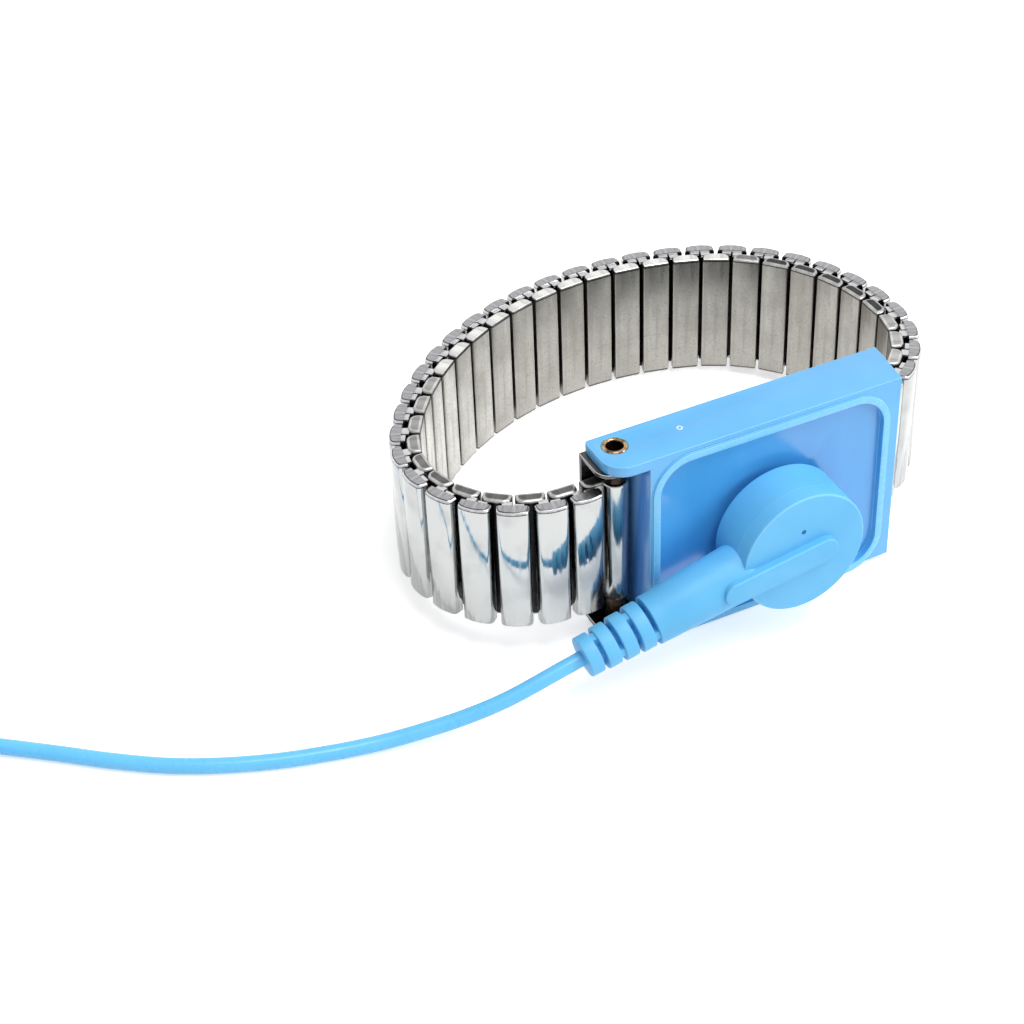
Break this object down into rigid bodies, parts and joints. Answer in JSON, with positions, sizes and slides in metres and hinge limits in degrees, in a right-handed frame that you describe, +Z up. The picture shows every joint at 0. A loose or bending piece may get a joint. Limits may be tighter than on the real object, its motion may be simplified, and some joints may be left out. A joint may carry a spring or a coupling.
{
  "type": "esd wrist strap",
  "caption": "Expansion-band ESD wrist strap: moulded clasp case, metal link loop, right-angle press stud plug with strain relief, and coiled ground cord.",
  "frame": {"origin": "On the floor, under the middle of the strap's bounding box without the free cord and what is on it.", "axes": "+X along the case from its hinge end to its far end, +Y from the front of the case to the band loop behind it, +Z up."},
  "size_m": [0.2081, 0.0594, 0.0287],
  "materials": {
    "case_blue": "gloss",
    "plug_blue": "matte",
    "core_dark": "matte",
    "channel_steel": "polished",
    "band_steel": "polished and brushed",
    "aged_brass": "satin",
    "nickel": "polished",
    "spring_brass": "satin",
    "spring_steel": "satin",
    "resistor_tan": "gloss",
    "cord_blue": "gloss",
    "tie_black": "matte"
  },
  "bodies": {
    "strap": {"case_shell": "case_blue", "clasp_channel": "channel_steel", "hinge_rivet": "aged_brass", "near_end_link": "band_steel", "far_pin": "nickel", "far_end_link": "band_steel", "snap_stud": "nickel", "stud_rivet": "nickel", "contact_strip": "spring_brass"},
    "link_01": {"link_01": "band_steel"},
    "link_02": {"link_02": "band_steel"},
    "link_03": {"link_03": "band_steel"},
    "link_04": {"link_04": "band_steel"},
    "link_05": {"link_05": "band_steel"},
    "link_06": {"link_06": "band_steel"},
    "link_07": {"link_07": "band_steel"},
    "link_08": {"link_08": "band_steel"},
    "link_09": {"link_09": "band_steel"},
    "link_10": {"link_10": "band_steel"},
    "link_11": {"link_11": "band_steel"},
    "link_12": {"link_12": "band_steel"},
    "link_13": {"link_13": "band_steel"},
    "link_14": {"link_14": "band_steel"},
    "link_15": {"link_15": "band_steel"},
    "link_16": {"link_16": "band_steel"},
    "link_17": {"link_17": "band_steel"},
    "link_18": {"link_18": "band_steel"},
    "link_19": {"link_19": "band_steel"},
    "link_20": {"link_20": "band_steel"},
    "link_21": {"link_21": "band_steel"},
    "link_22": {"link_22": "band_steel"},
    "link_23": {"link_23": "band_steel"},
    "link_24": {"link_24": "band_steel"},
    "link_25": {"link_25": "band_steel"},
    "link_26": {"link_26": "band_steel"},
    "link_27": {"link_27": "band_steel"},
    "link_28": {"link_28": "band_steel"},
    "link_29": {"link_29": "band_steel"},
    "link_30": {"link_30": "band_steel"},
    "link_31": {"link_31": "band_steel"},
    "link_32": {"link_32": "band_steel"},
    "link_33": {"link_33": "band_steel"},
    "lead": {"cord_run": "cord_blue", "cord_coil": "cord_blue", "cord_tie": "tie_black", "banana_pin": "nickel", "banana_crimp": "spring_brass", "banana_grip": "plug_blue"},
    "plug": {"plug_cover": "plug_blue", "plug_core": "core_dark", "snap_socket": "nickel", "socket_spring": "spring_steel", "safety_resistor": "resistor_tan", "splice_crimp": "nickel", "cord_lead": "cord_blue"}
  },
  "joints": [
    {"name": "stretch_01", "type": "slide", "parent": "strap", "child": "link_01", "axis": [-1, 0, 0], "range_m": [0, 0.00184], "stiffness_N_per_m": 1700},
    {"name": "stretch_02", "type": "slide", "parent": "link_01", "child": "link_02", "axis": [-0.9992, 0.0405, -0.0048], "range_m": [0, 0.00184], "stiffness_N_per_m": 1700},
    {"name": "stretch_03", "type": "slide", "parent": "link_02", "child": "link_03", "axis": [-0.9388, 0.342, -0.0405], "range_m": [0, 0.00182], "stiffness_N_per_m": 1700},
    {"name": "stretch_04", "type": "slide", "parent": "link_03", "child": "link_04", "axis": [-0.7885, 0.6108, -0.0723], "range_m": [0, 0.00175], "stiffness_N_per_m": 1700},
    {"name": "stretch_05", "type": "slide", "parent": "link_04", "child": "link_05", "axis": [-0.5625, 0.821, -0.0972], "range_m": [0, 0.00164], "stiffness_N_per_m": 1700},
    {"name": "stretch_06", "type": "slide", "parent": "link_05", "child": "link_06", "axis": [-0.2827, 0.9526, -0.1127], "range_m": [0, 0.0015], "stiffness_N_per_m": 1700},
    {"name": "stretch_07", "type": "slide", "parent": "link_06", "child": "link_07", "axis": [0.0243, 0.9928, -0.1175], "range_m": [0, 0.00133], "stiffness_N_per_m": 1700},
    {"name": "stretch_08", "type": "slide", "parent": "link_07", "child": "link_08", "axis": [0.3289, 0.9378, -0.111], "range_m": [0, 0.00117], "stiffness_N_per_m": 1700},
    {"name": "stretch_09", "type": "slide", "parent": "link_08", "child": "link_09", "axis": [0.5208, 0.8478, -0.1003], "range_m": [0, 0.00106], "stiffness_N_per_m": 1700},
    {"name": "stretch_10", "type": "slide", "parent": "link_09", "child": "link_10", "axis": [0.6076, 0.7887, -0.0933], "range_m": [0, 0.00101], "stiffness_N_per_m": 1700},
    {"name": "stretch_11", "type": "slide", "parent": "link_10", "child": "link_11", "axis": [0.6878, 0.7209, -0.0853], "range_m": [0, 0.000965], "stiffness_N_per_m": 1700},
    {"name": "stretch_12", "type": "slide", "parent": "link_11", "child": "link_12", "axis": [0.7603, 0.6451, -0.0763], "range_m": [0, 0.000922], "stiffness_N_per_m": 1700},
    {"name": "stretch_13", "type": "slide", "parent": "link_12", "child": "link_13", "axis": [0.8243, 0.5622, -0.0665], "range_m": [0, 0.000884], "stiffness_N_per_m": 1700},
    {"name": "stretch_14", "type": "slide", "parent": "link_13", "child": "link_14", "axis": [0.8793, 0.473, -0.056], "range_m": [0, 0.000851], "stiffness_N_per_m": 1700},
    {"name": "stretch_15", "type": "slide", "parent": "link_14", "child": "link_15", "axis": [0.9245, 0.3786, -0.0448], "range_m": [0, 0.000822], "stiffness_N_per_m": 1700},
    {"name": "stretch_16", "type": "slide", "parent": "link_15", "child": "link_16", "axis": [0.9594, 0.28, -0.0331], "range_m": [0, 0.000799], "stiffness_N_per_m": 1700},
    {"name": "stretch_17", "type": "slide", "parent": "link_16", "child": "link_17", "axis": [0.9838, 0.1782, -0.0211], "range_m": [0, 0.000781], "stiffness_N_per_m": 1700},
    {"name": "stretch_18", "type": "slide", "parent": "link_17", "child": "link_18", "axis": [0.9972, 0.0746, -0.0088], "range_m": [0, 0.000769], "stiffness_N_per_m": 1700},
    {"name": "stretch_19", "type": "slide", "parent": "link_18", "child": "link_19", "axis": [0.9995, -0.03, 0.0035], "range_m": [0, 0.000763], "stiffness_N_per_m": 1700},
    {"name": "stretch_20", "type": "slide", "parent": "link_19", "child": "link_20", "axis": [0.9908, -0.1342, 0.0159], "range_m": [0, 0.000763], "stiffness_N_per_m": 1700},
    {"name": "stretch_21", "type": "slide", "parent": "link_20", "child": "link_21", "axis": [0.9711, -0.2368, 0.028], "range_m": [0, 0.000769], "stiffness_N_per_m": 1700},
    {"name": "stretch_22", "type": "slide", "parent": "link_21", "child": "link_22", "axis": [0.9407, -0.3369, 0.0399], "range_m": [0, 0.000781], "stiffness_N_per_m": 1700},
    {"name": "stretch_23", "type": "slide", "parent": "link_22", "child": "link_23", "axis": [0.8758, -0.4794, 0.0567], "range_m": [0, 0.000809], "stiffness_N_per_m": 1700},
    {"name": "stretch_24", "type": "slide", "parent": "link_23", "child": "link_24", "axis": [0.7767, -0.6255, 0.074], "range_m": [0, 0.000856], "stiffness_N_per_m": 1700},
    {"name": "stretch_25", "type": "slide", "parent": "link_24", "child": "link_25", "axis": [0.6532, -0.7519, 0.089], "range_m": [0, 0.000917], "stiffness_N_per_m": 1700},
    {"name": "stretch_26", "type": "slide", "parent": "link_25", "child": "link_26", "axis": [0.5092, -0.8547, 0.1011], "range_m": [0, 0.000989], "stiffness_N_per_m": 1700},
    {"name": "stretch_27", "type": "slide", "parent": "link_26", "child": "link_27", "axis": [0.3491, -0.9306, 0.1101], "range_m": [0, 0.00107], "stiffness_N_per_m": 1700},
    {"name": "stretch_28", "type": "slide", "parent": "link_27", "child": "link_28", "axis": [0.1781, -0.9772, 0.1156], "range_m": [0, 0.00116], "stiffness_N_per_m": 1700},
    {"name": "stretch_29", "type": "slide", "parent": "link_28", "child": "link_29", "axis": [0.0015, -0.9931, 0.1175], "range_m": [0, 0.00126], "stiffness_N_per_m": 1700},
    {"name": "stretch_30", "type": "slide", "parent": "link_29", "child": "link_30", "axis": [-0.2216, -0.9684, 0.1146], "range_m": [0, 0.00138], "stiffness_N_per_m": 1700},
    {"name": "stretch_31", "type": "slide", "parent": "link_30", "child": "link_31", "axis": [-0.4757, -0.8735, 0.1034], "range_m": [0, 0.00152], "stiffness_N_per_m": 1700},
    {"name": "stretch_32", "type": "slide", "parent": "link_31", "child": "link_32", "axis": [-0.6947, -0.7143, 0.0845], "range_m": [0, 0.00164], "stiffness_N_per_m": 1700},
    {"name": "stretch_33", "type": "slide", "parent": "link_32", "child": "link_33", "axis": [-0.8625, -0.5025, 0.0595], "range_m": [0, 0.00174], "stiffness_N_per_m": 1700},
    {"name": "plug_pull", "type": "slide", "parent": "strap", "child": "lead", "axis": [0, -0.9931, 0.1175], "range_m": [0, 0.008]},
    {"name": "plug_swivel", "type": "hinge", "parent": "lead", "child": "plug", "pos_m": [0.00526, -0.02094, 0.01329], "axis": [0, -0.9931, 0.1175], "range_deg": [-45, 6], "deforming": ["cord_lead"]}
  ],
  "couplings": [
    {"joint": "stretch_02", "follows": "stretch_01", "ratio": 1.0008},
    {"joint": "stretch_03", "follows": "stretch_01", "ratio": 0.99052},
    {"joint": "stretch_04", "follows": "stretch_01", "ratio": 0.95316},
    {"joint": "stretch_05", "follows": "stretch_01", "ratio": 0.89227},
    {"joint": "stretch_06", "follows": "stretch_01", "ratio": 0.81368},
    {"joint": "stretch_07", "follows": "stretch_01", "ratio": 0.72493},
    {"joint": "stretch_08", "follows": "stretch_01", "ratio": 0.63452},
    {"joint": "stretch_09", "follows": "stretch_01", "ratio": 0.57621},
    {"joint": "stretch_10", "follows": "stretch_01", "ratio": 0.54937},
    {"joint": "stretch_11", "follows": "stretch_01", "ratio": 0.52428},
    {"joint": "stretch_12", "follows": "stretch_01", "ratio": 0.50121},
    {"joint": "stretch_13", "follows": "stretch_01", "ratio": 0.48044},
    {"joint": "stretch_14", "follows": "stretch_01", "ratio": 0.46219},
    {"joint": "stretch_15", "follows": "stretch_01", "ratio": 0.44666},
    {"joint": "stretch_16", "follows": "stretch_01", "ratio": 0.43401},
    {"joint": "stretch_17", "follows": "stretch_01", "ratio": 0.4244},
    {"joint": "stretch_18", "follows": "stretch_01", "ratio": 0.41793},
    {"joint": "stretch_19", "follows": "stretch_01", "ratio": 0.41467},
    {"joint": "stretch_20", "follows": "stretch_01", "ratio": 0.41466},
    {"joint": "stretch_21", "follows": "stretch_01", "ratio": 0.4179},
    {"joint": "stretch_22", "follows": "stretch_01", "ratio": 0.42434},
    {"joint": "stretch_23", "follows": "stretch_01", "ratio": 0.43982},
    {"joint": "stretch_24", "follows": "stretch_01", "ratio": 0.46519},
    {"joint": "stretch_25", "follows": "stretch_01", "ratio": 0.49819},
    {"joint": "stretch_26", "follows": "stretch_01", "ratio": 0.53777},
    {"joint": "stretch_27", "follows": "stretch_01", "ratio": 0.5827},
    {"joint": "stretch_28", "follows": "stretch_01", "ratio": 0.63156},
    {"joint": "stretch_29", "follows": "stretch_01", "ratio": 0.68281},
    {"joint": "stretch_30", "follows": "stretch_01", "ratio": 0.74865},
    {"joint": "stretch_31", "follows": "stretch_01", "ratio": 0.82525},
    {"joint": "stretch_32", "follows": "stretch_01", "ratio": 0.89319},
    {"joint": "stretch_33", "follows": "stretch_01", "ratio": 0.94746}
  ]
}
